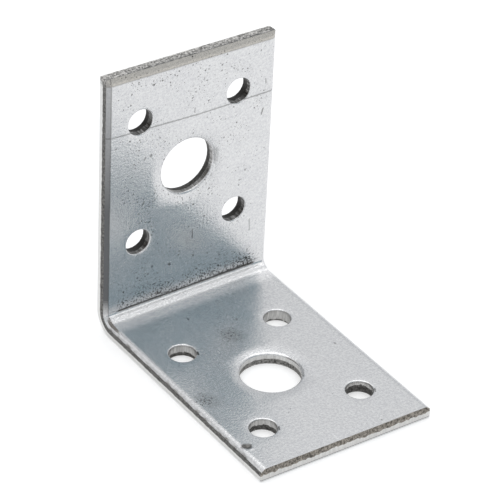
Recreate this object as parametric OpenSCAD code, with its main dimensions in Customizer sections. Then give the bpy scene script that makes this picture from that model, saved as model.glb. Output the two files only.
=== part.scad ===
// Angle bracket folded from one strip of zinc coated steel, lying on its base leg.
// X runs across the strip, the base leg points to -Y, the upright stands at +Y and Z is up.
// The origin is on the floor under the middle of the whole.

/* [Sheet] */
// Width of the strip
strip_w = 35.2; // [24:0.1:80]
// Thickness of the sheet
sheet_t = 2.5; // [1.5:0.1:4]
// Outer length of the base leg on its longer side
base_l = 52.8; // [48:0.2:120]
// Outer height of the upright on its higher side
upright_h = 52.8; // [48:0.2:120]
// Radius inside the fold
fold_r = 1.8; // [0.5:0.1:6]
// How far the top of the upright runs out of square across the strip
top_skew = 0.4; // [0:0.1:2]
// How far the free end of the base runs out of square across the strip
toe_skew = 0.8; // [0:0.1:2]

/* [Screw holes] */
// Diameter of the small holes at their throat
screw_d = 5; // [3:0.1:8]
// Spacing of the small holes across the strip
screw_across = 20.5; // [12:0.5:60]
// Spacing of the small holes along a leg
screw_along = 25; // [16:0.5:60]
// Distance of the row nearest the fold from the outer face of the other leg
first_row = 17.5; // [12:0.5:40]
// How far all the holes sit off the middle of the strip
pattern_off = -0.4; // [-1.5:0.1:1.5]
// Length of the smooth throat of a small hole
screw_throat = 1.05; // [0.4:0.05:3]
// Width of the rolled lip of a small hole
screw_lip_w = 0.25; // [0.05:0.05:1]
// Depth of the rolled lip of a small hole
screw_lip_h = 0.2; // [0.05:0.05:0.8]

/* [Bolt hole] */
// Diameter of the large holes at their throat
bolt_d = 11; // [6:0.1:16]
// Distance of the large hole from the outer face of the other leg
bolt_row = 30.1; // [20:0.1:60]
// Length of the smooth throat of a large hole
bolt_throat = 0.85; // [0.3:0.05:3]
// Width of the rolled lip of a large hole
bolt_lip_w = 0.6; // [0.1:0.05:1.5]
// Depth of the rolled lip of a large hole
bolt_lip_h = 0.38; // [0.05:0.01:1]
// How far the torn part of every hole opens out
tear_out = 0.14; // [0:0.01:0.4]

/* [Slit sides] */
// Width of the bevel along the inner long edges
bevel_w = 0.85; // [0.1:0.05:1.5]
// Depth of the bevel along the inner long edges
bevel_h = 0.5; // [0.1:0.05:1.5]
// Width of the rolled outer long edge
slit_roll_w = 0.25; // [0.05:0.05:1]
// Depth of the rolled outer long edge
slit_roll_h = 0.2; // [0.05:0.05:0.8]
// Height of the smooth sheared band above the rolled edge
slit_smooth = 0.6; // [0.1:0.05:2]
// How far the torn band of a side stands back
slit_tear = 0.08; // [0:0.01:0.3]

/* [Cropped ends] */
// Length of the bevel inside the top of the upright
top_bevel_w = 1.3; // [0.1:0.05:3]
// Depth of the bevel inside the top of the upright
top_bevel_h = 0.5; // [0.05:0.05:1.5]
// Thickness of the smooth band at the top of the upright
top_smooth = 0.25; // [0.05:0.05:1.5]
// Length of the rolled edge under the free end of the base
toe_roll_w = 0.4; // [0.05:0.05:2]
// Depth of the rolled edge under the free end of the base
toe_roll_h = 0.4; // [0.05:0.05:1]
// Thickness of the smooth band at the free end of the base
toe_smooth = 1.15; // [0.1:0.05:2]
// How far the torn band of both ends stands back
crop_tear = 0.12; // [0:0.01:0.4]

/* [Marks] */
// Radius of the press line at the foot of the upright
crease_r = 0.5; // [0.2:0.1:2]
// Depth of the press line
crease_h = 0.12; // [0.02:0.01:0.4]
// Distance of the ends of the press line from the sides
crease_end = 2.4; // [0.5:0.1:6]
// Width of the punch dimple near the free end
dimple_d = 1.5; // [0.5:0.1:3]
// Depth of the punch dimple
dimple_h = 0.3; // [0.05:0.05:1]
// Distance of the dimple from the left side
dimple_side = 1.65; // [1:0.05:10]
// Distance of the dimple from the outer face of the upright
dimple_out = 45.5; // [8:0.5:100]

/* [Hidden] */
$fn = 64;
zinc = [0.74, 0.76, 0.77];
half_w = strip_w / 2;
back_y = base_l / 2;
// Middle of the fold's radius, measured from both outer faces
fold_c = sheet_t + fold_r;
// Cutting bodies pass the sheet by this much
past = 3;
lip_steps = 6;
roll_steps = 5;
dimple_ball = (dimple_d * dimple_d / 4 + dimple_h * dimple_h) / (2 * dimple_h);

// Points of a quarter of an ellipse, from straight out along the first axis to straight up the second
function quarter(w, h, steps) = [for (i = [0 : steps]) [w * cos(90 * i / steps), h * sin(90 * i / steps)]];

// Cross section of the strip, outer face on the X axis and inner face at the sheet's thickness
module strip_section() {
    roll = [for (p = quarter(slit_roll_w, slit_roll_h, roll_steps)) [half_w - slit_roll_w + p[0], slit_roll_h - p[1]]];
    right = concat(
        [for (i = [roll_steps : -1 : 0]) roll[i]],
        [
            [half_w, slit_roll_h + slit_smooth],
            [half_w - slit_tear, sheet_t - bevel_h],
            [half_w - bevel_w, sheet_t]
        ]
    );
    last = len(right) - 1;
    polygon(concat(right, [for (i = [last : -1 : 0]) [-right[i][0], right[i][1]]]));
}

// The strip folded up: base leg, quarter turn and upright, both legs longer than needed
module folded_strip() {
    base_run = base_l - fold_c + past;
    upright_run = upright_h - fold_c + past;
    translate([0, back_y - fold_c, 0])
        rotate([90, 0, 0])
            linear_extrude(base_run) strip_section();
    translate([0, back_y, fold_c])
        linear_extrude(upright_run) rotate(180) strip_section();
    translate([0, back_y - fold_c, fold_c])
        rotate([0, 90, 0])
            rotate_extrude(angle = 90)
                rotate(90) translate([0, -fold_c]) strip_section();
}

// What the shear takes off past an end: the sheet lies along -X, the tool's side on the X axis.
// One step makes the edge a straight bevel, more steps roll it over.
module crop_body(roll_w, roll_h, smooth, steps) {
    roll = [for (p = quarter(roll_w, roll_h, steps)) [p[0] - roll_w, roll_h - p[1]]];
    rotate([90, 0, 0])
        linear_extrude(strip_w + 2 * past, center = true)
            polygon(concat(
                [[past * 2, -past], [-roll_w, -past]],
                [for (i = [steps : -1 : 0]) roll[i]],
                [
                    [0, roll_h + smooth],
                    [-crop_tear, sheet_t],
                    [-crop_tear, sheet_t + past],
                    [past * 2, sheet_t + past]
                ]
            ));
}

// A hole punched from the inner face at z = 0 down through the sheet
module punched_hole(d, throat, lip_w, lip_h) {
    r = d / 2;
    lip = [for (p = quarter(lip_w, lip_h, lip_steps)) [r + lip_w - p[0], p[1] - lip_h]];
    rotate_extrude()
        polygon(concat(
            [[0, past], [r + lip_w, past]],
            [for (i = [lip_steps : -1 : 0]) lip[i]],
            [
                [r, -lip_h - throat],
                [r + tear_out, -sheet_t],
                [r + tear_out, -sheet_t - past],
                [0, -sheet_t - past]
            ]
        ));
}

// The five holes of one leg: X across, Y away from the other leg, inner face at z = 0
module leg_holes() {
    for (x = [-0.5, 0.5], y = [0, 1])
        translate([pattern_off + x * screw_across, first_row + y * screw_along, 0])
            punched_hole(screw_d, screw_throat, screw_lip_w, screw_lip_h);
    translate([pattern_off, bolt_row, 0])
        punched_hole(bolt_d, bolt_throat, bolt_lip_w, bolt_lip_h);
}

module angle_bracket() {
    color(zinc)
        difference() {
            folded_strip();
            // top of the upright, sheared from the inner side and lower on the right
            translate([-half_w, back_y - sheet_t, upright_h])
                rotate([0, atan(top_skew / strip_w), 0])
                    translate([half_w, 0, 0])
                        rotate([0, -90, -90])
                            crop_body(top_bevel_w, top_bevel_h, top_smooth, 1);
            // free end of the base, sheared from below and shorter on the left
            translate([half_w, back_y - base_l, 0])
                rotate([0, 0, -atan(toe_skew / strip_w)])
                    translate([-half_w, 0, 0])
                        rotate([0, 0, -90])
                            crop_body(toe_roll_w, toe_roll_h, toe_smooth, roll_steps);
            translate([0, back_y, sheet_t]) mirror([0, 1, 0]) leg_holes();
            translate([0, back_y - sheet_t, 0]) rotate([90, 0, 0]) leg_holes();
            // press line at the foot of the upright
            translate([0, back_y - sheet_t - crease_r + crease_h, fold_c - crease_r / 2])
                rotate([0, 90, 0])
                    cylinder(h = strip_w - 2 * crease_end, r = crease_r, center = true);
            // punch dimple near the left side
            translate([dimple_side - half_w, back_y - dimple_out, sheet_t - dimple_h + dimple_ball])
                sphere(r = dimple_ball);
        }
}

angle_bracket();
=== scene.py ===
from math import cos, pi, radians, sin, sqrt

import bmesh
import bpy
from mathutils import Matrix, Vector, noise


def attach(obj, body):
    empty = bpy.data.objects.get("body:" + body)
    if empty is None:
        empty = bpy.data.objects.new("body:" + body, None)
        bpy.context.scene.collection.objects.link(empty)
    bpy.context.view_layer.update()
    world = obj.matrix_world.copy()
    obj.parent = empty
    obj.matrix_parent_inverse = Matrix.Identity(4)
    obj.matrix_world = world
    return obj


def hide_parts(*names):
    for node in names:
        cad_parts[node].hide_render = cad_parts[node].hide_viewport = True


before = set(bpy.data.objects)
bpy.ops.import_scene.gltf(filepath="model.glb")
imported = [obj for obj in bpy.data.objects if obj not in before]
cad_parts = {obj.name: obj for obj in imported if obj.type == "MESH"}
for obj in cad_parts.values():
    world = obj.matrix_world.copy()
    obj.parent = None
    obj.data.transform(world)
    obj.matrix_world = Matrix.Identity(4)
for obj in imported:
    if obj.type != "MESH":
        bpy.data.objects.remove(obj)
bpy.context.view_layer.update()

# The blank: a length of zinc coated strip steel, slit to width with its inner long edges beveled,
# and cropped to length a little out of square. It is drawn flat here, in millimetres: X across
# the strip, Y along it from the free end of the base, Z up through the sheet to the inner face.

strip_w = 35.2
sheet_t = 2.5
leg_l = 52.8             # outer length of each leg on its longer side
fold_r = 1.8
fold_c = sheet_t + fold_r
base_run = leg_l - fold_c
fold_run = (fold_r + sheet_t / 2) * pi / 2
blank_l = base_run + fold_run + leg_l - fold_c
top_skew, toe_skew = 0.4, 0.8

bevel_w, bevel_h = 0.85, 0.5
side_cut = dict(roll_w=0.25, roll_h=0.2, smooth=0.6, stand_back=0.08)
top_cut = dict(roll_w=1.3, roll_h=0.5, smooth=0.25, stand_back=0.12, straight=True)
toe_cut = dict(roll_w=0.4, roll_h=0.4, smooth=1.15, stand_back=0.12)

# How bright each wall is drawn: its smooth band and its torn band. Besides the steel's own finish,
# this is partly painted light and shade, the top end's torn band lighter and the sides' darker
side_shine = (0.94, 0.17)
top_shine = (0.28, 0.5)
toe_shine = (0.87, 0.31)
no_burr = 1              # a wall that shows none is this far from it

crumb_deep, crumb_w = 0.045, 0.35
chip_deep, chip_w = 0.3, 1.6      # the edge of the top bevel is chipped by the shear


def wall_set_back(depth, roll_w, roll_h, smooth, stand_back, straight=False):
    """How far a sheared wall stands back at this depth under the face that the tool came from."""
    if depth < roll_h:
        left = 1 - depth / roll_h
        return roll_w * (left if straight else 1 - sqrt(1 - left ** 2))
    torn = max(0, depth - roll_h - smooth) / (sheet_t - roll_h - smooth)
    return stand_back * torn


def wall_depths(roll_w, roll_h, smooth, stand_back, straight=False):
    """Depths of the edge loops down a sheared wall: close together round a rolled edge."""
    rolled = [roll_h * (1 - cos(radians(15 * i))) for i in range(7)]
    if straight:
        rolled = [0, roll_h]
    torn_from = roll_h + smooth
    steps = max(2, round((sheet_t - torn_from) / 0.22))
    return rolled + [roll_h + smooth / 2, torn_from] + [
        torn_from + (sheet_t - torn_from) * (i + 1) / steps for i in range(steps)]


def crumbled(point, torn):
    """How deep the torn band of a wall has crumbled at a point, torn mm past its smooth band."""
    fade_in = min(1, max(0, torn) / 0.3)
    return crumb_deep * max(0, noise.noise(point / crumb_w) + 0.2) * fade_in


bracket = bmesh.new()
inner_w = strip_w - 2 * bevel_w
toe_y = toe_skew / 2
top_y = blank_l - top_skew / 2
inner_y0 = toe_y + toe_cut["stand_back"]
inner_y1 = top_y - top_cut["roll_w"]
cell = 0.5               # size of a face of the flat sheet
bmesh.ops.create_grid(
    bracket,
    x_segments=round(inner_w / cell), y_segments=round((inner_y1 - inner_y0) / cell), size=0.5,
    matrix=Matrix.Translation((0, (inner_y0 + inner_y1) / 2, sheet_t))
    @ Matrix.Diagonal((inner_w, inner_y1 - inner_y0, 1, 1)))
sheet = bmesh.ops.extrude_face_region(bracket, geom=bracket.faces[:])
bmesh.ops.translate(
    bracket, vec=(0, 0, -sheet_t),
    verts=[v for v in sheet["geom"] if isinstance(v, bmesh.types.BMVert)])

# Loops round the rim, one for each level at which a slit or cropped wall changes
level_gap = 0.012
levels = sorted(
    {round(sheet_t - d, 4) for d in wall_depths(**top_cut)}
    | {round(d, 4) for d in wall_depths(**toe_cut)}
    | {round(d, 4) for d in wall_depths(**side_cut) if d <= sheet_t - bevel_h}
    | {sheet_t - bevel_h, sheet_t - bevel_h / 2})
levels = [a for a, b in zip(levels, levels[1:]) if b - a > level_gap] + [sheet_t]
bmesh.ops.subdivide_edges(
    bracket, cuts=len(levels) - 2,
    edges=[e for e in bracket.edges if abs(e.verts[0].co.z - e.verts[1].co.z) > 1])

torn_layer = bracket.verts.layers.float.new("torn")      # about mm past a wall's smooth band
cut_layer = bracket.verts.layers.float.new("cut")        # 1 on a sheared wall, 0 on coated faces
ramp_layer = bracket.verts.layers.float.new("ramp")      # how dull the upright's bevels are
shine_layer = bracket.verts.layers.float_vector.new("shine")   # smooth, torn, mm from the burr
not_torn = -9
side_rag, side_late = 3.5, 0.8    # the sides' torn band begins evenly, and above its form
toe_early = 0.22                  # the free end's begins below its form
for v in bracket.verts:
    v[torn_layer] = not_torn
rim = [v for v in bracket.verts
       if abs(v.co.x) > inner_w / 2 - 0.01 or v.co.y < inner_y0 + 0.01 or v.co.y > inner_y1 - 0.01]
for v in rim:
    height = levels[round(v.co.z / sheet_t * (len(levels) - 1))]
    on_side = abs(v.co.x) > inner_w / 2 - 0.01
    on_toe = v.co.y < inner_y0 + 0.01
    on_top = v.co.y > inner_y1 - 0.01
    v.co.z = height
    if on_side:
        bevel = max(0, height - (sheet_t - bevel_h))
        torn = height - side_cut["roll_h"] - side_cut["smooth"]
        set_back = wall_set_back(min(height, sheet_t - bevel_h), **side_cut)
        set_back += (bevel_w - side_cut["stand_back"]) * bevel / bevel_h
        if bevel < 0.001:
            set_back += crumbled(v.co, torn)
            v[torn_layer] = side_rag * torn - side_late
            v[cut_layer] = height >= side_cut["roll_h"] - 0.001
            v[shine_layer] = (*side_shine, no_burr)
        # The upright's left bevel is drawn darker from just under its foot, and less so towards the
        # top
        up_share = (v.co.y - base_run - fold_run) / (leg_l - fold_c)
        if v.co.x < 0 and up_share > -0.05 and height > sheet_t - bevel_h - 0.001:
            v[ramp_layer] = min(1, max(0, 12 * up_share + 0.4)) * min(1, 1.45 - up_share)
        v.co.x = (strip_w / 2 - set_back) * (1 if v.co.x > 0 else -1)
    if on_toe:
        torn = height - toe_cut["roll_h"] - toe_cut["smooth"]
        v.co.y = toe_y + wall_set_back(height, **toe_cut) + crumbled(v.co, torn)
        v[cut_layer] = height >= toe_cut["roll_h"] - 0.001
        v[torn_layer] = torn + toe_early
        v[shine_layer] = (*toe_shine, no_burr)
    if on_top:
        depth = sheet_t - height
        torn = depth - top_cut["roll_h"] - top_cut["smooth"]
        v.co.y = top_y - wall_set_back(depth, **top_cut) - crumbled(v.co, torn)
        if depth < 0.001:
            v.co.y -= chip_deep * max(0, noise.noise(v.co / chip_w))
        v[cut_layer] = depth >= top_cut["roll_h"] - 0.001
        v[torn_layer] = torn
        v[shine_layer] = (*top_shine, height)

# The holes: four for screws and a large one for a bolt in each leg, punched from the inner face.
# The punch dishes the sheet a little, draws a rolled lip down, shears a smooth throat and tears
# the rest out wider. The walls in the upright are drawn darker, as painted shade.

pattern_off = -0.4
screw_across, screw_along = 20.5, 25.0
first_row, bolt_row = 17.5, 30.1
screw_d, bolt_d = 5.0, 11.0
screw_cut = dict(roll_w=0.25, roll_h=0.2, smooth=1.05, stand_back=0.14)
bolt_cut = dict(roll_w=0.6, roll_h=0.38, smooth=0.85, stand_back=0.14)
window_rim = 0.55        # the window goes this far past the lip
lip_rim = 0.12           # and a flat ring this far


def punch(x, y, d, cut, shine, late, dish_w, dish_h):
    """Cuts one hole: opens a window in both faces, and draws its edge to a ring and down.
    The look of the torn band begins late mm after its form does, more evenly in a large hole."""
    centre = Vector((x, y, 0))
    radius = d / 2 + cut["roll_w"]
    half = radius + window_rim
    cut_away = {
        f for f in bracket.faces
        if max(abs(f.calc_center_median().x - x), abs(f.calc_center_median().y - y)) < half}
    window = {e for f in cut_away for e in f.edges if any(g not in cut_away for g in e.link_faces)}
    bmesh.ops.delete(bracket, context="FACES", geom=list(cut_away))
    ring = [e for e in window if e.verts[0].co.z > 1]
    far_side = [e for e in window if e.verts[0].co.z < 1]
    stations = [(0, radius + lip_rim)] + [
        (depth, d / 2 + wall_set_back(depth, **cut)) for depth in wall_depths(**cut)]
    for depth, r in stations:
        torn = depth - cut["roll_h"] - cut["smooth"]
        drawn = bmesh.ops.extrude_edge_only(bracket, edges=ring)["geom"]
        ring = [e for e in drawn if isinstance(e, bmesh.types.BMEdge)]
        for v in [v for v in drawn if isinstance(v, bmesh.types.BMVert)]:
            out = Vector((v.co.x - x, v.co.y - y, 0)).normalized()
            v.co = centre + out * r + Vector((0, 0, sheet_t - depth))
            v.co += out * crumbled(v.co, torn)
            v[torn_layer] = (torn - late) * d / screw_d
            v[cut_layer] = depth >= cut["roll_h"] - 0.001
            v[shine_layer] = (*shine, sheet_t - depth)
    bmesh.ops.bridge_loops(bracket, edges=ring + far_side)
    for v in bracket.verts:
        past_lip = (Vector((v.co.x - x, v.co.y - y)).length - radius) / dish_w
        if past_lip < 1 and v.co.z > sheet_t - cut["roll_h"] - 0.001:
            v.co.z -= dish_h * (1 - max(0, past_lip)) ** 2


# For each leg: where its outer face meets the other's, the way along it, how bright its holes'
# walls are, the upright's darker as painted shade, and how late the torn band begins in each of
# the small ones
for leg_y, along, shine, bolt_shine, lates in (
        (leg_l, -1, (0.7, 0.12), (0.76, 0.25), (0.4, 1.0, 0.05, -0.3)),
        (base_run + fold_run - fold_c, 1, (0.16, 0.02), (0.36, 0.06), (-0.2, -0.1, 0, -0.2))):
    corners = [(side, row) for row in (first_row, first_row + screw_along) for side in (-0.5, 0.5)]
    for (side, row), late in zip(corners, lates):
        punch(pattern_off + side * screw_across, leg_y + along * row,
              screw_d, screw_cut, shine, late, dish_w=0.8, dish_h=0.03)
    punch(pattern_off, leg_y + along * bolt_row,
          bolt_d, bolt_cut, bolt_shine, 0.1, dish_w=1.9, dish_h=0.18)

# The fold: the blank is pressed up to a right angle over a punch that leaves a line where its
# nose ends on the upright, short of both sides. A dimple was punched beside the free end, and
# its near side stands up a little.

crease_y = base_run + fold_run * 0.86
crease_deep = 0.13
crease_half_w = 0.34
crease_half_l = strip_w / 2 - 2.4

# The sheet has loops close together across the line, and fine faces round the dimple
loop_gap = 0.075
for i in range(-8, 9):
    bmesh.ops.bisect_plane(
        bracket, geom=bracket.verts[:] + bracket.edges[:] + bracket.faces[:],
        plane_co=(0, crease_y + i * loop_gap, 0), plane_no=(0, 1, 0), dist=0.0005)

dimple = Vector((-15.95, 7.3, sheet_t))
dimple_r, dimple_deep = 0.8, 0.17
swell = dimple + Vector((0.25, -0.75, 0))
swell_r, swell_h = 0.6, 0.045
bmesh.ops.subdivide_edges(
    bracket, cuts=3, use_grid_fill=True,
    edges=[e for e in bracket.edges
           if all((v.co - dimple).length < dimple_r + 0.9 and v.co.z > sheet_t - 0.001
                  and abs(v.co.x) < inner_w / 2 - 0.01 for v in e.verts)])
bmesh.ops.triangulate(bracket, faces=[f for f in bracket.faces if len(f.verts) > 4])


def mound(point, middle, radius):
    """1 in the middle of a soft round mound or hollow, and 0 from its radius on."""
    return 0.5 + 0.5 * cos(pi * min(1, (point - middle).length / radius))


run_out_h, run_out_l = 0.55, 3.1      # the fold swells and runs out softly into the base
crest = 1.9                           # and is highest this far into its turn
skew_from, skew_l = 7, 6              # each end turns out of square over its last few mm
for v in bracket.verts:
    if v.co.z > sheet_t - 0.001:
        rising = min(1, max(0, (v.co.y - base_run + run_out_l) / (run_out_l + crest)))
        falling = min(1, max(0, (crease_y - v.co.y) / (crease_y - base_run - crest)))
        v.co.z += run_out_h * rising ** 2 * (3 - 2 * rising) * falling ** 2 * (3 - 2 * falling)
        groove = max(0, 1 - ((v.co.y - crease_y) / crease_half_w) ** 2)
        ends = min(1, max(0, (crease_half_l - abs(v.co.x)) / 0.9))
        hollow = dimple_deep * mound(v.co, dimple, dimple_r)
        swollen = swell_h * mound(v.co, swell, swell_r) if hollow < 0.02 else 0
        v.co.z -= crease_deep * groove * ends + hollow - swollen
    skew = top_skew if v.co.y > blank_l / 2 else toe_skew
    off_middle = abs(v.co.y - blank_l / 2)
    end_share = min(1, max(0, (off_middle - blank_l / 2 + skew_from) / skew_l))
    v.co.y -= skew * v.co.x / strip_w * end_share

blank_layer = bracket.verts.layers.float_vector.new("blank")   # where each point was in the flat
fold_axis = Vector((0, base_run, fold_c))
for v in bracket.verts:
    v[blank_layer] = v.co
    arc = min(max(v.co.y - base_run, 0), fold_run)
    turn = Matrix.Rotation(arc / fold_run * pi / 2, 3, "X")
    v.co = fold_axis + turn @ (v.co - Vector((0, arc, 0)) - fold_axis)
bmesh.ops.translate(bracket, vec=(0, -leg_l / 2, 0), verts=bracket.verts)
mm = 0.001
bmesh.ops.scale(bracket, vec=(mm, mm, mm), verts=bracket.verts)

# The bevels meet the inner face in a crisp line on the upright, and softly on the base
beveled = bracket.faces.layers.float.new("beveled")
for face in bracket.faces:
    face.smooth = True
    face.material_index = int(all(v[cut_layer] > 0.5 for v in face.verts))
    face[beveled] = min(v[ramp_layer] for v in face.verts)
bmesh.ops.recalc_face_normals(bracket, faces=bracket.faces)
for edge in bracket.edges:
    on_upright = edge.verts[0][blank_layer].y > base_run + fold_run * 0.6
    ridge = on_upright and len({f[beveled] > 0 for f in edge.link_faces}) == 2
    edge.smooth = not ridge and edge.calc_face_angle(0) < radians(36)
bracket_mesh = bpy.data.meshes.new("bracket")
bracket.to_mesh(bracket_mesh)
bracket.free()
bracket_piece = bpy.data.objects.new("bracket", bracket_mesh)
bpy.context.scene.collection.objects.link(bracket_piece)

# The finish of the rolled faces: strip steel with a thin zinc coat, skin passed between rolls.
# The eye gets a pale, faintly blue grey with a blurred gloss and a fine grain, clouds where the
# coat is duller, small dark pits, marks of handling, and dirt worked in above the fold line. Shade
# in the fold and its line, at the edges of the bevels, in the dimple, on the holes' lips and under
# the free end is painted in, as is a highlight on the dimple's edge.


def linear(hex_code):
    """An sRGB hex colour as the linear RGBA that a shader takes."""
    parts = [int(hex_code[i:i + 2], 16) / 255 for i in (1, 3, 5)]
    return [c / 12.92 if c <= 0.04045 else ((c + 0.055) / 1.055) ** 2.4 for c in parts] + [1]


def add(tree, kind, links=(), **settings):
    """Adds a node. Settings name its properties or inputs, and links are (input, output socket)."""
    node = tree.nodes.new(kind)
    for key, value in settings.items():
        if key in node.bl_rna.properties.keys():
            setattr(node, key, value)
    for key, value in settings.items():
        if key not in node.bl_rna.properties.keys():
            index = int(key[1:]) if key[0] == "i" and key[1:].isdigit() else key.replace("_", " ")
            node.inputs[index].default_value = value
    for key, socket in links:
        tree.links.new(socket, node.inputs[key])
    return node


zinc = bpy.data.materials.new("zinc_coated_strip")
zinc.use_nodes = True
tree = zinc.node_tree
tree.nodes.clear()
blank = add(tree, "ShaderNodeAttribute", attribute_name="blank").outputs["Vector"]
at = add(tree, "ShaderNodeSeparateXYZ", [("Vector", blank)])
across, along = at.outputs["X"], at.outputs["Y"]

# Roll lines: about 0.3 mm apart, running 8 mm along the strip
lines_at = add(tree, "ShaderNodeMapping", [("Vector", blank)], Scale=(1 / 0.3, 1 / 8, 1 / 0.3))
roll_lines = add(tree, "ShaderNodeTexNoise", [("Vector", lines_at.outputs[0])], Scale=1, Detail=2)
# Grain of the coat: about 0.4 mm, twice the real one so that it shows
grain = add(tree, "ShaderNodeTexNoise", [("Vector", blank)],
            Scale=1 / 0.4, Detail=2, Roughness=0.65)
# Clouds of dull and bright coat: about 7 mm across
clouds = add(tree, "ShaderNodeTexNoise", [("Vector", blank)], Scale=1 / 7, Detail=5, Roughness=0.62)

# Pits: up to 0.4 mm wide and uneven, no more than one to 0.9 mm each way, crowded in patches of
# 4 mm, and few on the base
patches = add(tree, "ShaderNodeTexNoise", [("Vector", blank)], Scale=1 / 4, Detail=3)
wander = add(tree, "ShaderNodeTexNoise", [("Vector", blank)], Scale=1 / 0.4, Detail=2)
shift = add(tree, "ShaderNodeVectorMath", [(0, wander.outputs["Color"])],
            operation="MULTIPLY_ADD", i1=(0.3, 0.3, 0.3), i2=(-0.15, -0.15, -0.15))
near = add(tree, "ShaderNodeVectorMath", [(0, blank), (1, shift.outputs[0])], operation="ADD")
pit_cells = add(tree, "ShaderNodeTexVoronoi", [("Vector", near.outputs[0])], Scale=1 / 0.9)
pit_draw = add(tree, "ShaderNodeSeparateColor", [("Color", pit_cells.outputs["Color"])])
pit_chance = add(tree, "ShaderNodeMath", [(0, patches.outputs["Fac"]), (2, pit_draw.outputs[0])],
                 operation="MULTIPLY_ADD", i1=3)
pit_limit = add(tree, "ShaderNodeMapRange", [("Value", along)],
                From_Min=base_run, From_Max=base_run + fold_run, To_Min=2.65, To_Max=2.12)
pit_share = add(tree, "ShaderNodeMath", [(0, pit_chance.outputs[0]), (1, pit_limit.outputs[0])],
                operation="SUBTRACT")
pit_size = add(tree, "ShaderNodeMapRange", [("Value", pit_share.outputs[0])],
               From_Min=0, From_Max=0.35, To_Min=0, To_Max=0.2)
pit_edge = add(tree, "ShaderNodeMath",
               [(0, pit_size.outputs[0]), (1, pit_cells.outputs["Distance"])],
               operation="SUBTRACT")
pits = add(tree, "ShaderNodeMapRange", [("Value", pit_edge.outputs[0])],
           From_Min=0, From_Max=0.05, To_Min=0, To_Max=0.85)

# Dirt and painted shade: specks of about 0.2 mm, crowded in the 5 mm above the fold line, where
# their darkening also stands for shade along the fold, and least at its ends, with some in two dull
# spots on the base
specks = add(tree, "ShaderNodeTexNoise", [("Vector", blank)], Scale=1 / 0.32, Detail=1)
above_line = add(tree, "ShaderNodeMapRange", [("Value", along)],
                 From_Min=crease_y - 0.1, From_Max=crease_y + 5, To_Min=0.31, To_Max=0.1)
past_line = add(tree, "ShaderNodeMath", [(0, along)], operation="GREATER_THAN", i1=crease_y - 0.15)
side_on = add(tree, "ShaderNodeMath", [(0, across)], operation="ABSOLUTE")
line_ends = add(tree, "ShaderNodeMapRange", [("Value", side_on.outputs[0])],
                From_Min=crease_half_l - 1, From_Max=crease_half_l, To_Min=1, To_Max=0)
off_ends = add(tree, "ShaderNodeMapRange", [("Value", line_ends.outputs[0])], To_Min=0.4, To_Max=1)
along_line = add(tree, "ShaderNodeMath", [(0, past_line.outputs[0]), (1, off_ends.outputs[0])],
                 operation="MULTIPLY")
fold_crowding_and_shade = add(tree, "ShaderNodeMath", [(0, above_line.outputs[0]), (1, along_line.outputs[0])],
               operation="MULTIPLY")
patchy = add(tree, "ShaderNodeMath", [(0, patches.outputs["Fac"]), (2, specks.outputs["Fac"])],
             operation="MULTIPLY_ADD", i1=0.3)
speck_level = add(tree, "ShaderNodeMath", [(0, patchy.outputs[0]), (1, fold_crowding_and_shade.outputs[0])],
                  operation="ADD").outputs[0]
for spot in ((-0.4, 35.4), (-14.8, 21.9)):
    off_spot = add(tree, "ShaderNodeVectorMath", [(0, blank)],
                   operation="DISTANCE", i1=(*spot, sheet_t))
    in_spot = add(tree, "ShaderNodeMapRange", [("Value", off_spot.outputs["Value"])],
                  From_Min=0.5, From_Max=3.4, To_Min=0.255, To_Max=0)
    speck_level = add(tree, "ShaderNodeMath", [(0, speck_level), (1, in_spot.outputs[0])],
                      operation="ADD").outputs[0]
specks_and_fold_shade = add(tree, "ShaderNodeMapRange", [("Value", speck_level)],
           From_Min=0.93, From_Max=1.0, To_Min=0, To_Max=0.9)

# The pressed line at the foot of the upright is painted dark between its two ends, as shade in its
# groove
from_line = add(tree, "ShaderNodeMath", [(0, along)], operation="SUBTRACT", i1=crease_y)
off_line = add(tree, "ShaderNodeMath", [(0, from_line.outputs[0])], operation="ABSOLUTE")
crease_shade = add(tree, "ShaderNodeMapRange", [("Value", off_line.outputs[0])],
                From_Min=0.18, From_Max=0.5, To_Min=0.78, To_Max=0)
pressed = add(tree, "ShaderNodeMath", [(0, crease_shade.outputs[0]), (1, line_ends.outputs[0])],
              operation="MULTIPLY")

# A scribed line across the upright, bent a little past its middle
line_y, line_bend, line_slope = 89.38, 1.55, 0.04
bend = add(tree, "ShaderNodeMath", [(1, across)], operation="SUBTRACT", i0=line_bend)
rise = add(tree, "ShaderNodeMath", [(0, bend.outputs[0])], operation="MAXIMUM", i1=0)
scribed_y = add(tree, "ShaderNodeMath", [(0, rise.outputs[0])],
                operation="MULTIPLY_ADD", i1=line_slope, i2=line_y)
near_y = add(tree, "ShaderNodeSeparateXYZ", [("Vector", near.outputs[0])])
from_scribed = add(tree, "ShaderNodeMath", [(0, near_y.outputs["Y"]), (1, scribed_y.outputs[0])],
                   operation="SUBTRACT")
off_scribed = add(tree, "ShaderNodeMath", [(0, from_scribed.outputs[0])], operation="ABSOLUTE")
scribed = add(tree, "ShaderNodeMapRange", [("Value", off_scribed.outputs[0])],
              From_Min=0.04, From_Max=0.22, To_Min=0.55, To_Max=0)

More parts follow.
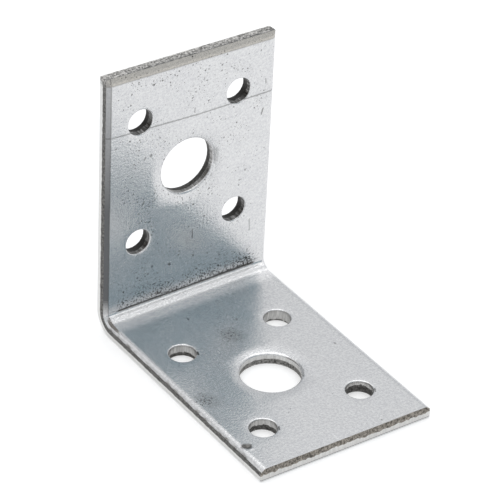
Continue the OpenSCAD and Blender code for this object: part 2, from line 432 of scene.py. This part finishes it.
# Painted shade: a fine dark line where the left and top bevels meet the upright's inner face
from_bevel = add(tree, "ShaderNodeMath", [(0, across)], operation="ADD", i1=strip_w / 2 - bevel_w)
off_bevel = add(tree, "ShaderNodeMath", [(0, from_bevel.outputs[0])], operation="ABSOLUTE")
bevel_line = add(tree, "ShaderNodeMapRange", [("Value", off_bevel.outputs[0])],
                 From_Min=0.04, From_Max=0.17, To_Min=0.45, To_Max=0)
on_upright = add(tree, "ShaderNodeMapRange", [("Value", along)],
                 From_Min=base_run + 1, From_Max=base_run + fold_run, To_Min=0, To_Max=1)
bevel_line_shade = add(tree, "ShaderNodeMath", [(0, bevel_line.outputs[0]), (1, on_upright.outputs[0])],
                 operation="MULTIPLY")
skewed = add(tree, "ShaderNodeMath", [(0, across), (2, along)],
             operation="MULTIPLY_ADD", i1=top_skew / strip_w)
from_top = add(tree, "ShaderNodeMath", [(0, skewed.outputs[0])],
               operation="SUBTRACT", i1=inner_y1)
off_top = add(tree, "ShaderNodeMath", [(0, from_top.outputs[0])], operation="ABSOLUTE")
top_line = add(tree, "ShaderNodeMapRange", [("Value", off_top.outputs[0])],
               From_Min=0.04, From_Max=0.2, To_Min=0.3, To_Max=0)

# A painted shadow: a dark line under the rolled edge of the free end, where it stands on the table
under = add(tree, "ShaderNodeMapRange", [("Value", at.outputs["Z"])],
            From_Min=0.2, From_Max=0.42, To_Min=0.85, To_Max=0)
by_toe = add(tree, "ShaderNodeMapRange", [("Value", along)],
             From_Min=0.9, From_Max=1.3, To_Min=1, To_Max=0)
toe_shadow_line = add(tree, "ShaderNodeMath", [(0, under.outputs[0]), (1, by_toe.outputs[0])],
               operation="MULTIPLY")

# All but the pits and the painted shadow under the free end are on the inner side of the sheet
# alone
dirt_and_shade_colour = "#4a4844"
inside = add(tree, "ShaderNodeMapRange", [("Value", at.outputs["Z"])],
             From_Min=1.2, From_Max=1.6, To_Min=0, To_Max=1)
# Dirt and painted shade alike are gathered into one mask here and drawn in the one dark colour
dirt_and_shade = specks_and_fold_shade.outputs[0]
for layer, operation in ((pressed, "MAXIMUM"), (scribed, "MAXIMUM"), (bevel_line_shade, "MAXIMUM"),
                         (top_line, "MAXIMUM"), (inside, "MULTIPLY"), (pits, "MAXIMUM"),
                         (toe_shadow_line, "MAXIMUM")):
    dirt_and_shade = add(tree, "ShaderNodeMath", [(0, dirt_and_shade), (1, layer.outputs[0])],
                operation=operation).outputs[0]

tone_a = add(tree, "ShaderNodeMix", [(0, clouds.outputs["Fac"])], data_type="RGBA",
             i6=linear("#f0f0f1"), i7=linear("#fbfbfa"))
grain_mix = add(tree, "ShaderNodeMapRange", [("Value", grain.outputs["Fac"])],
                From_Min=0.36, From_Max=0.64, To_Min=0, To_Max=1)
tone_b = add(tree, "ShaderNodeMix", [(0, grain_mix.outputs[0]), (6, tone_a.outputs[2])],
             data_type="RGBA", blend_type="MULTIPLY", i7=linear("#ececee"))
# The top bevel has a warmer tint, and the upright's left one is drawn darker, most in its lower
# half
past_ridge = add(tree, "ShaderNodeMath", [(0, from_top.outputs[0])],
                 operation="GREATER_THAN", i1=0.02)
on_top_bevel = add(tree, "ShaderNodeMath", [(0, past_ridge.outputs[0]), (1, inside.outputs[0])],
                   operation="MULTIPLY")
tone_c = add(tree, "ShaderNodeMix", [(0, on_top_bevel.outputs[0]), (6, tone_b.outputs[2])],
             data_type="RGBA", blend_type="MULTIPLY", i7=linear("#e6e1d9"))
bevel_darkening = add(tree, "ShaderNodeAttribute", attribute_name="beveled").outputs["Fac"]
tone_d = add(tree, "ShaderNodeMix", [(0, bevel_darkening), (6, tone_c.outputs[2])],
             data_type="RGBA", i7=linear("#6b6c6e"))
tone_e = add(tree, "ShaderNodeMix", [(0, dirt_and_shade), (6, tone_d.outputs[2])],
             data_type="RGBA", i7=linear(dirt_and_shade_colour))

# Marks on the inner face: from and to in the flat blank, half width and strength. The dark ones
# are first a smear just above the fold line, dirt and partly painted shade, and a band across the
# fold, painted shade; then dull spots, dashes and dots of handling; then painted shade in the
# dimple and on the right of the lips of both bolt holes and three screw holes. The bright ones are
# two scratches and a painted highlight on the dimple's edge.
dark_marks_and_shade = [
    ((6.5, 53.0), (14.6, 52.8), 0.5, 0.5), ((-15.8, 51.3), (15.8, 51.3), 0.4, 0.4),
    ((-0.4, 35.6), (0.4, 34.6), 2.4, 0.13), ((-14.6, 22.4), (-14.0, 20.6), 2.2, 0.13),
    ((0.9, 65.3), (1.0, 63.3), 0.13, 0.75), ((-8.4, 83.9), (-8.3, 84.1), 0.3, 0.6),
    ((-9.7, 83.6), (-9.5, 83.9), 0.22, 0.5), ((-10.1, 74.0), (-9.6, 74.7), 0.18, 0.6),
    ((-3.9, 59.4), (-3.8, 59.2), 0.32, 0.75), ((-7.6, 60.0), (-7.5, 60.2), 0.22, 0.6),
    ((-13.6, 56.7), (-13.6, 56.6), 0.22, 0.8), ((1.3, 59.5), (1.3, 59.3), 0.22, 0.7),
    ((13.5, 63.1), (13.6, 60.6), 0.2, 0.35), ((12.0, 74.4), (12.0, 74.2), 0.2, 0.6),
    ((15.3, 86.2), (15.0, 85.1), 0.22, 0.6), ((15.6, 92.2), (15.7, 91.4), 0.2, 0.4),
    ((0.6, 90.9), (0.6, 90.0), 0.14, 0.5), ((-8.4, 98.4), (-8.3, 98.3), 0.2, 0.5),
    ((-4.1, 43.5), (-4.2, 43.1), 0.2, 0.6), ((3.3, 38.8), (3.3, 38.7), 0.22, 0.6),
    ((14.2, 23.6), (14.2, 23.5), 0.3, 0.5), ((-16.25, 7.75), (-15.65, 7.4), 0.85, 0.9),
    ((5.28, 22.0), (4.79, 20.3), 0.34, 0.95), ((4.79, 20.3), (3.84, 18.85), 0.34, 0.95),
    ((1.6, 74.0), (2.8, 75.1), 0.35, 0.8), ((5.4, 80.5), (5.4, 78.5), 0.8, 0.25),
    ((-8.2, 34.2), (-8.5, 33.5), 0.24, 0.9),
    ((-8.2, 9.1), (-8.6, 8.4), 0.22, 0.8), ((12.3, 9.1), (11.9, 8.4), 0.22, 0.7)]
bright_marks_and_highlight = [((-16.5, 13.2), (-14.3, 12.8), 0.2, 0.7), ((-1.5, 2.6), (-1.6, 1.0), 0.18, 0.7),
                ((-15.2, 6.9), (-15.0, 7.2), 0.16, 0.6)]
tone = tone_e.outputs[2]
for marks, colour in ((dark_marks_and_shade, dirt_and_shade_colour), (bright_marks_and_highlight, "#ffffff")):
    for start, end, half_w, strength in marks:
        start, end = Vector((*start, sheet_t)), Vector((*end, sheet_t))
        run = end - start
        reach = run / run.length_squared
        rel = add(tree, "ShaderNodeVectorMath", [(0, near.outputs[0])],
                  operation="SUBTRACT", i1=start)
        share = add(tree, "ShaderNodeVectorMath", [(0, rel.outputs[0])],
                    operation="DOT_PRODUCT", i1=reach)
        held = add(tree, "ShaderNodeClamp", [("Value", share.outputs["Value"])])
        foot = add(tree, "ShaderNodeVectorMath", [("Scale", held.outputs[0])],
                   operation="SCALE", i0=run)
        off = add(tree, "ShaderNodeVectorMath", [(0, rel.outputs[0]), (1, foot.outputs[0])],
                  operation="DISTANCE")
        mark = add(tree, "ShaderNodeMapRange", [("Value", off.outputs["Value"])],
                   From_Min=half_w * 0.45, From_Max=half_w, To_Min=strength, To_Max=0)
        tone = add(tree, "ShaderNodeMix", [(0, mark.outputs[0]), (6, tone)],
                   data_type="RGBA", i7=linear(colour)).outputs[2]

dullness = add(tree, "ShaderNodeMapRange", [("Value", clouds.outputs["Fac"])],
               From_Min=0.3, From_Max=0.7, To_Min=0.28, To_Max=0.22)
relief = add(tree, "ShaderNodeMath", [(0, roll_lines.outputs["Fac"]), (2, grain.outputs["Fac"])],
             operation="MULTIPLY_ADD", i1=0.4)
bump = add(tree, "ShaderNodeBump", [("Height", relief.outputs[0])],
           Strength=0.6, Distance=0.05 * mm)
skin = add(tree, "ShaderNodeBsdfPrincipled",
           [("Base Color", tone), ("Roughness", dullness.outputs[0]),
            ("Normal", bump.outputs[0])], Metallic=1.0)
add(tree, "ShaderNodeOutputMaterial", [("Surface", skin.outputs[0])])

# The finish of the sheared walls: bare steel with zinc smeared over it by the tool. The eye gets
# a bright band with fine drag lines through the thickness, then a rough, dark, torn one with a
# ragged edge between them, and a thin painted highlight along the burr where the tool came out of
# a hole or the top.

sheared = bpy.data.materials.new("sheared_steel")
sheared.use_nodes = True
tree = sheared.node_tree
tree.nodes.clear()
blank = add(tree, "ShaderNodeAttribute", attribute_name="blank").outputs["Vector"]
past_smooth = add(tree, "ShaderNodeAttribute", attribute_name="torn").outputs["Fac"]
shine_at = add(tree, "ShaderNodeAttribute", attribute_name="shine").outputs["Vector"]
shine = add(tree, "ShaderNodeSeparateXYZ", [("Vector", shine_at)])

# Drag lines: 0.2 mm apart, through the sheet
drag_at = add(tree, "ShaderNodeMapping", [("Vector", blank)], Scale=(1 / 0.2, 1 / 0.2, 1 / 3))
drag = add(tree, "ShaderNodeTexNoise", [("Vector", drag_at.outputs[0])], Scale=1, Detail=2)
# The ragged edge: teeth about 0.8 mm wide with finer ones on them, on waves 4 mm long
teeth = add(tree, "ShaderNodeTexNoise", [("Vector", blank)], Scale=1 / 0.8, Detail=3)
waves = add(tree, "ShaderNodeTexNoise", [("Vector", blank)], Scale=1 / 4, Detail=1)
wavy = add(tree, "ShaderNodeMath", [(0, waves.outputs["Fac"]), (2, past_smooth)],
           operation="MULTIPLY_ADD", i1=0.4)
ragged = add(tree, "ShaderNodeMath", [(0, teeth.outputs["Fac"]), (2, wavy.outputs[0])],
             operation="MULTIPLY_ADD", i1=1.2)
torn = add(tree, "ShaderNodeMapRange", [("Value", ragged.outputs[0])],
           From_Min=0.77, From_Max=0.85, To_Min=0, To_Max=1)
# Torn grain: 0.4 mm
crumbs = add(tree, "ShaderNodeTexNoise", [("Vector", blank)],
             Scale=1 / 0.4, Detail=3, Roughness=0.7)
streaks = add(tree, "ShaderNodeMapRange", [("Value", drag.outputs["Fac"])],
              From_Min=0.3, From_Max=0.7, To_Min=0.5, To_Max=2)
smooth_level = add(tree, "ShaderNodeMath", [(0, shine.outputs["X"]), (1, streaks.outputs[0])],
                   operation="POWER")
crumb_level = add(tree, "ShaderNodeMapRange", [("Value", crumbs.outputs["Fac"])],
                  From_Min=0.38, From_Max=0.62, To_Min=0.25, To_Max=1.8)
torn_level = add(tree, "ShaderNodeMath", [(0, shine.outputs["Y"]), (1, crumb_level.outputs[0])],
                 operation="MULTIPLY")
wall_level = add(tree, "ShaderNodeMix",
                 [(0, torn.outputs[0]), (2, smooth_level.outputs[0]), (3, torn_level.outputs[0])],
                 data_type="FLOAT")
# The burr: a thin pale line painted along it as a highlight, scaled by the torn band's brightness
burr_highlight = add(tree, "ShaderNodeMapRange", [("Value", shine.outputs["Z"])],
           From_Min=0.1, From_Max=0.3, To_Min=0.9, To_Max=0)
burr_highlight_level = add(tree, "ShaderNodeMath", [(0, burr_highlight.outputs[0]), (1, shine.outputs["Y"])],
                 operation="MULTIPLY")
bright = add(tree, "ShaderNodeMath", [(0, wall_level.outputs[0]), (1, burr_highlight_level.outputs[0])],
             operation="ADD")
wall_tone = add(tree, "ShaderNodeMix", [(0, bright.outputs[0])], data_type="RGBA",
                i6=linear("#373635"), i7=linear("#faf9f7"))
# Only the torn band of the free end is clearly rusty
at = add(tree, "ShaderNodeSeparateXYZ", [("Vector", blank)])
by_toe = add(tree, "ShaderNodeMapRange", [("Value", at.outputs["Y"])],
             From_Min=0.9, From_Max=1.3, To_Min=1, To_Max=0.2)
rusty = add(tree, "ShaderNodeMath", [(0, torn.outputs[0]), (1, by_toe.outputs[0])],
            operation="MULTIPLY")
warm = add(tree, "ShaderNodeMix", [(0, rusty.outputs[0]), (6, wall_tone.outputs[2])],
           data_type="RGBA", blend_type="MULTIPLY", i7=linear("#f4ece2"))
wall_rough = add(tree, "ShaderNodeMapRange", [("Value", torn.outputs[0])], To_Min=0.3, To_Max=0.55)
wall_relief = add(tree, "ShaderNodeMix",
                  [(0, torn.outputs[0]), (2, drag.outputs["Fac"]), (3, crumbs.outputs["Fac"])],
                  data_type="FLOAT")
bump = add(tree, "ShaderNodeBump", [("Height", wall_relief.outputs[0])],
           Strength=0.6, Distance=0.1 * mm)
wall = add(tree, "ShaderNodeBsdfPrincipled",
           [("Base Color", warm.outputs[2]), ("Roughness", wall_rough.outputs[0]),
            ("Normal", bump.outputs[0])], Metallic=1.0)
add(tree, "ShaderNodeOutputMaterial", [("Surface", wall.outputs[0])])

bracket_mesh.materials.append(zinc)
bracket_mesh.materials.append(sheared)
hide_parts("angle_bracket")
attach(bracket_piece, "root")

# The table: a plain white board, matt. It glows a little in the picture and in the metal, so
# that it is pure white where no shadow falls, and gives the bracket no other light for it.

table_mesh = bmesh.new()
bmesh.ops.create_grid(table_mesh, x_segments=1, y_segments=1, size=3)
table_data = bpy.data.meshes.new("table")
table_mesh.to_mesh(table_data)
table_mesh.free()
table = bpy.data.objects.new("table", table_data)
bpy.context.scene.collection.objects.link(table)

board = bpy.data.materials.new("white_board")
board.use_nodes = True
tree = board.node_tree
tree.nodes.clear()
paper = add(tree, "ShaderNodeBsdfDiffuse", Color=linear("#f2f2f2"))
path = add(tree, "ShaderNodeLightPath")
in_metal = add(tree, "ShaderNodeMath", [(0, path.outputs["Is Glossy Ray"])],
               operation="MULTIPLY", i1=0.165)
glow_level = add(tree, "ShaderNodeMath",
                 [(0, path.outputs["Is Camera Ray"]), (2, in_metal.outputs[0])],
                 operation="MULTIPLY_ADD", i1=0.42)
glow = add(tree, "ShaderNodeEmission", [("Strength", glow_level.outputs[0])],
           Color=linear("#ffffff"))
both = add(tree, "ShaderNodeAddShader", [(0, paper.outputs[0]), (1, glow.outputs[0])])
add(tree, "ShaderNodeOutputMaterial", [("Surface", both.outputs[0])])
table_data.materials.append(board)

# The light: a soft pale studio, paler high up, with a blue grey screen in front of the bracket
# on the right, a dark one low on the left behind it, and one wide soft box overhead.

world = bpy.data.worlds.new("studio")
bpy.context.scene.world = world
world.use_nodes = True
tree = world.node_tree
tree.nodes.clear()
towards = add(tree, "ShaderNodeTexCoord").outputs["Generated"]
parts = add(tree, "ShaderNodeSeparateXYZ", [("Vector", towards)])
behind = add(tree, "ShaderNodeMapRange", [("Value", parts.outputs["Y"])],
             From_Min=-0.4, From_Max=0.4, To_Min=0, To_Max=1, interpolation_type="SMOOTHSTEP")
room = add(tree, "ShaderNodeMix", [(0, behind.outputs[0])], data_type="RGBA",
           i6=linear("#c7cacc"), i7=linear("#cbcdcf"))
high = add(tree, "ShaderNodeMapRange", [("Value", parts.outputs["Z"])],
           From_Min=0.5, From_Max=0.8, To_Min=0, To_Max=1, interpolation_type="SMOOTHSTEP")
ceiling = add(tree, "ShaderNodeMix", [(0, high.outputs[0]), (6, room.outputs[2])],
              data_type="RGBA", i7=linear("#e8e9ea"))
seen = ceiling.outputs[2]
for screen_at, edge, shade in (
        ((0.487, -0.665, 0.566), (0.945, 0.985), "#69838e"),
        ((-0.85, 0.45, 0.2), (0.78, 0.88), "#726e6a")):
    facing = add(tree, "ShaderNodeVectorMath", [(0, towards)], operation="DOT_PRODUCT",
                 i1=Vector(screen_at).normalized())
    screen = add(tree, "ShaderNodeMapRange", [("Value", facing.outputs["Value"])],
                 From_Min=edge[0], From_Max=edge[1], interpolation_type="SMOOTHSTEP")
    seen = add(tree, "ShaderNodeMix", [(0, screen.outputs[0]), (6, seen)],
               data_type="RGBA", i7=linear(shade)).outputs[2]
sky = add(tree, "ShaderNodeBackground", [("Color", seen)], Strength=1.0)
white = add(tree, "ShaderNodeBackground", Color=linear("#ffffff"), Strength=1.0)
path = add(tree, "ShaderNodeLightPath")
shown = add(tree, "ShaderNodeMixShader",
            [(0, path.outputs["Is Camera Ray"]), (1, sky.outputs[0]), (2, white.outputs[0])])
add(tree, "ShaderNodeOutputWorld", [("Surface", shown.outputs[0])])

soft_box = bpy.data.lights.new("soft_box", "AREA")
soft_box.shape = "SQUARE"
soft_box.size = 1.0
soft_box.energy = 2.6
soft_box_object = bpy.data.objects.new("soft_box", soft_box)
soft_box_object.location = (0.15, 0.25, 1.25)
soft_box_object.rotation_euler = Vector(soft_box_object.location).to_track_quat("Z", "Y").to_euler()
bpy.context.scene.collection.objects.link(soft_box_object)

# The camera: in front, to the left and above, rolled a little.

aim = Vector((-2.49, 1.4, 26.17)) * mm
stand_off = 481.93
azimuth, elevation, roll = radians(-36.25), radians(34.5), radians(2.86)
away = Vector((sin(azimuth) * cos(elevation), -cos(azimuth) * cos(elevation), sin(elevation)))
level = Vector((cos(azimuth), sin(azimuth), 0))
upward = away.cross(level)
camera_right = level * cos(roll) + upward * sin(roll)
camera_up = upward * cos(roll) - level * sin(roll)
camera_data = bpy.data.cameras.new("camera")
camera_data.sensor_width = 36.0
camera_data.lens = 201.89
camera_data.clip_start = 0.05
camera = bpy.data.objects.new("camera", camera_data)
camera.matrix_world = Matrix.Translation(aim + away * stand_off * mm) @ Matrix(
    (camera_right, camera_up, away)).transposed().to_4x4()
bpy.context.scene.collection.objects.link(camera)
bpy.context.scene.camera = camera
bpy.context.scene.view_settings.view_transform = "Standard"
